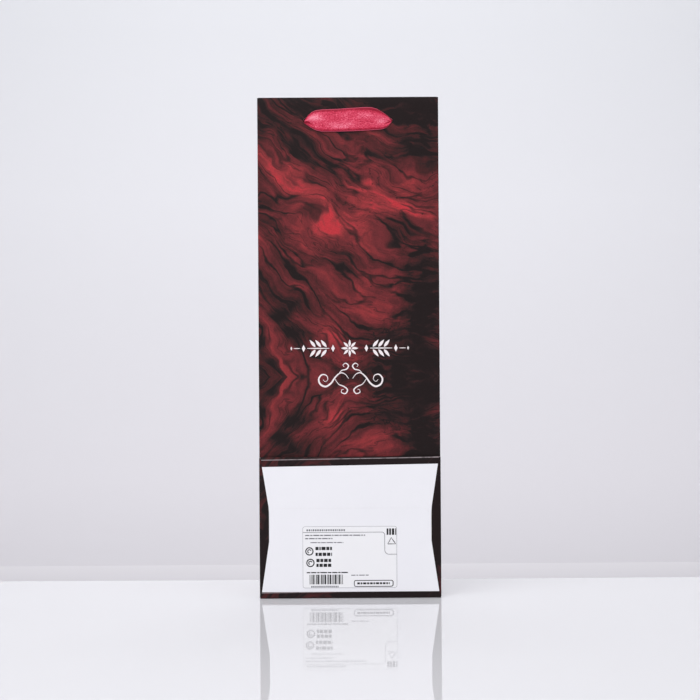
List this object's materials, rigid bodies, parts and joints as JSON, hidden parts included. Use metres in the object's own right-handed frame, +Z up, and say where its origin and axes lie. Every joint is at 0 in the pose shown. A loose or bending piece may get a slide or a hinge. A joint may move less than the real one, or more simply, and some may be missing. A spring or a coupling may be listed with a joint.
{
  "type": "wine gift bag",
  "caption": "Tall laminated-paper bottle gift bag, folded flat, with gusseted sides, a folded base and two knotted satin ribbon handles.",
  "frame": {"origin": "middle of the folded bag's footprint, on the surface it stands on", "axes": "+Z up from the base fold to the mouth, -Y out of the front panel, +X to the right as seen from the front"},
  "size_m": [0.1298, 0.0092, 0.36],
  "materials": {
    "printed_paper": "satin",
    "white_paper": "matte",
    "label_paper": "satin",
    "top_card": "matte",
    "base_board": "matte",
    "satin_ribbon": "satin"
  },
  "bodies": {
    "back": {"back_panel": "printed_paper", "back_top_card": "top_card", "back_hem": "printed_paper", "glue_lap": "white_paper", "back_ribbon_tails": "satin_ribbon"},
    "left_rear_gusset": {"left_rear_gusset": "printed_paper", "left_rear_gusset_hem": "printed_paper"},
    "left_front_gusset": {"left_front_gusset": "printed_paper", "left_front_gusset_lower": "printed_paper", "left_front_gusset_hem": "printed_paper"},
    "right_rear_gusset": {"right_rear_gusset": "printed_paper", "right_rear_gusset_hem": "printed_paper"},
    "right_front_gusset": {"right_front_gusset": "printed_paper", "right_front_gusset_lower": "printed_paper", "right_front_gusset_hem": "printed_paper"},
    "front": {"front_panel": "printed_paper", "front_panel_lower": "printed_paper", "front_top_card": "top_card", "front_hem": "printed_paper", "front_ribbon_tails": "satin_ribbon"},
    "front_strip": {"front_base_strip": "printed_paper"},
    "left_front_triangle": {"left_front_triangle": "printed_paper"},
    "right_front_triangle": {"right_front_triangle": "printed_paper"},
    "left_base_triangle": {"left_base_triangle": "printed_paper"},
    "right_base_triangle": {"right_base_triangle": "printed_paper"},
    "bottom": {"bottom_outer_flap": "white_paper", "bottom_inner_flap": "white_paper", "bottom_left_flap": "printed_paper", "bottom_right_flap": "printed_paper", "bottom_board": "base_board", "bottom_base_fold": "printed_paper", "bottom_label": "label_paper"},
    "front_handle": {"front_ribbon": "satin_ribbon", "front_ribbon_knots": "satin_ribbon"},
    "back_handle": {"back_ribbon": "satin_ribbon", "back_ribbon_knots": "satin_ribbon"}
  },
  "joints": [
    {"name": "left_rear_fold", "type": "hinge", "parent": "back", "child": "left_rear_gusset", "pos_m": [-0.065, 0.00215, 0], "axis": [0, 0, -1], "range_deg": [0, 89.9]},
    {"name": "left_mid_fold", "type": "hinge", "parent": "left_rear_gusset", "child": "left_front_gusset", "pos_m": [-0.015, 0.00075, 0], "axis": [0, 0, 1], "range_deg": [0, 179.8], "deforming": ["left_front_gusset_lower"]},
    {"name": "left_front_fold", "type": "hinge", "parent": "left_front_gusset", "child": "front", "pos_m": [-0.065, -0.00065, 0], "axis": [0, 0, -1], "range_deg": [0, 89.9], "deforming": ["front_panel_lower"]},
    {"name": "right_rear_fold", "type": "hinge", "parent": "back", "child": "right_rear_gusset", "pos_m": [0.065, 0.00215, 0], "axis": [0, 0, 1], "range_deg": [0, 89.9]},
    {"name": "right_mid_fold", "type": "hinge", "parent": "right_rear_gusset", "child": "right_front_gusset", "pos_m": [0.015, 0.00075, 0], "axis": [0, 0, -1], "range_deg": [0, 179.8], "deforming": ["right_front_gusset_lower"]},
    {"name": "base_fold", "type": "hinge", "parent": "back", "child": "bottom", "pos_m": [0, -0.0008, 0.00377], "axis": [1, 0, 0], "range_deg": [0, 89.9], "deforming": ["bottom_base_fold"]},
    {"name": "front_strip_fold", "type": "hinge", "parent": "front", "child": "front_strip", "pos_m": [0, -0.0016, 0.0507], "axis": [1, 0, 0], "range_deg": [0, 179.8], "deforming": ["front_base_strip"]},
    {"name": "left_front_triangle_fold", "type": "hinge", "parent": "left_front_gusset", "child": "left_front_triangle", "pos_m": [-0.04, -0.0011, 0.0507], "axis": [1, 0, 0], "range_deg": [0, 179.8], "deforming": ["left_front_triangle"]},
    {"name": "right_front_triangle_fold", "type": "hinge", "parent": "right_front_gusset", "child": "right_front_triangle", "pos_m": [0.04, -0.0011, 0.0507], "axis": [1, 0, 0], "range_deg": [0, 179.8], "deforming": ["right_front_triangle"]},
    {"name": "left_base_triangle_fold", "type": "hinge", "parent": "bottom", "child": "left_base_triangle", "pos_m": [-0.065, -0.00335, 0.0507], "axis": [0, 0, 1], "range_deg": [0, 89.9], "deforming": ["left_base_triangle"]},
    {"name": "right_base_triangle_fold", "type": "hinge", "parent": "bottom", "child": "right_base_triangle", "pos_m": [0.065, -0.00335, 0.0507], "axis": [0, 0, -1], "range_deg": [0, 89.9], "deforming": ["right_base_triangle"]},
    {"name": "front_handle_draw", "type": "slide", "parent": "front", "child": "front_handle", "axis": [0, 0, 1], "range_m": [0, 0.09], "deforming": ["front_ribbon_tails", "front_ribbon_knots"]},
    {"name": "back_handle_draw", "type": "slide", "parent": "back", "child": "back_handle", "axis": [0, 0, 1], "range_m": [0, 0.09], "deforming": ["back_ribbon_tails", "back_ribbon_knots"]}
  ],
  "couplings": [
    {"joint": "left_mid_fold", "follows": "left_rear_fold", "ratio": 2},
    {"joint": "left_front_fold", "follows": "left_rear_fold", "ratio": 1},
    {"joint": "right_rear_fold", "follows": "left_rear_fold", "ratio": 1},
    {"joint": "right_mid_fold", "follows": "left_rear_fold", "ratio": 2},
    {"joint": "base_fold", "follows": "left_rear_fold", "ratio": 1},
    {"joint": "front_strip_fold", "follows": "left_rear_fold", "ratio": 2},
    {"joint": "left_front_triangle_fold", "follows": "left_rear_fold", "ratio": 2},
    {"joint": "right_front_triangle_fold", "follows": "left_rear_fold", "ratio": 2},
    {"joint": "left_base_triangle_fold", "follows": "left_rear_fold", "ratio": 1},
    {"joint": "right_base_triangle_fold", "follows": "left_rear_fold", "ratio": 1}
  ]
}
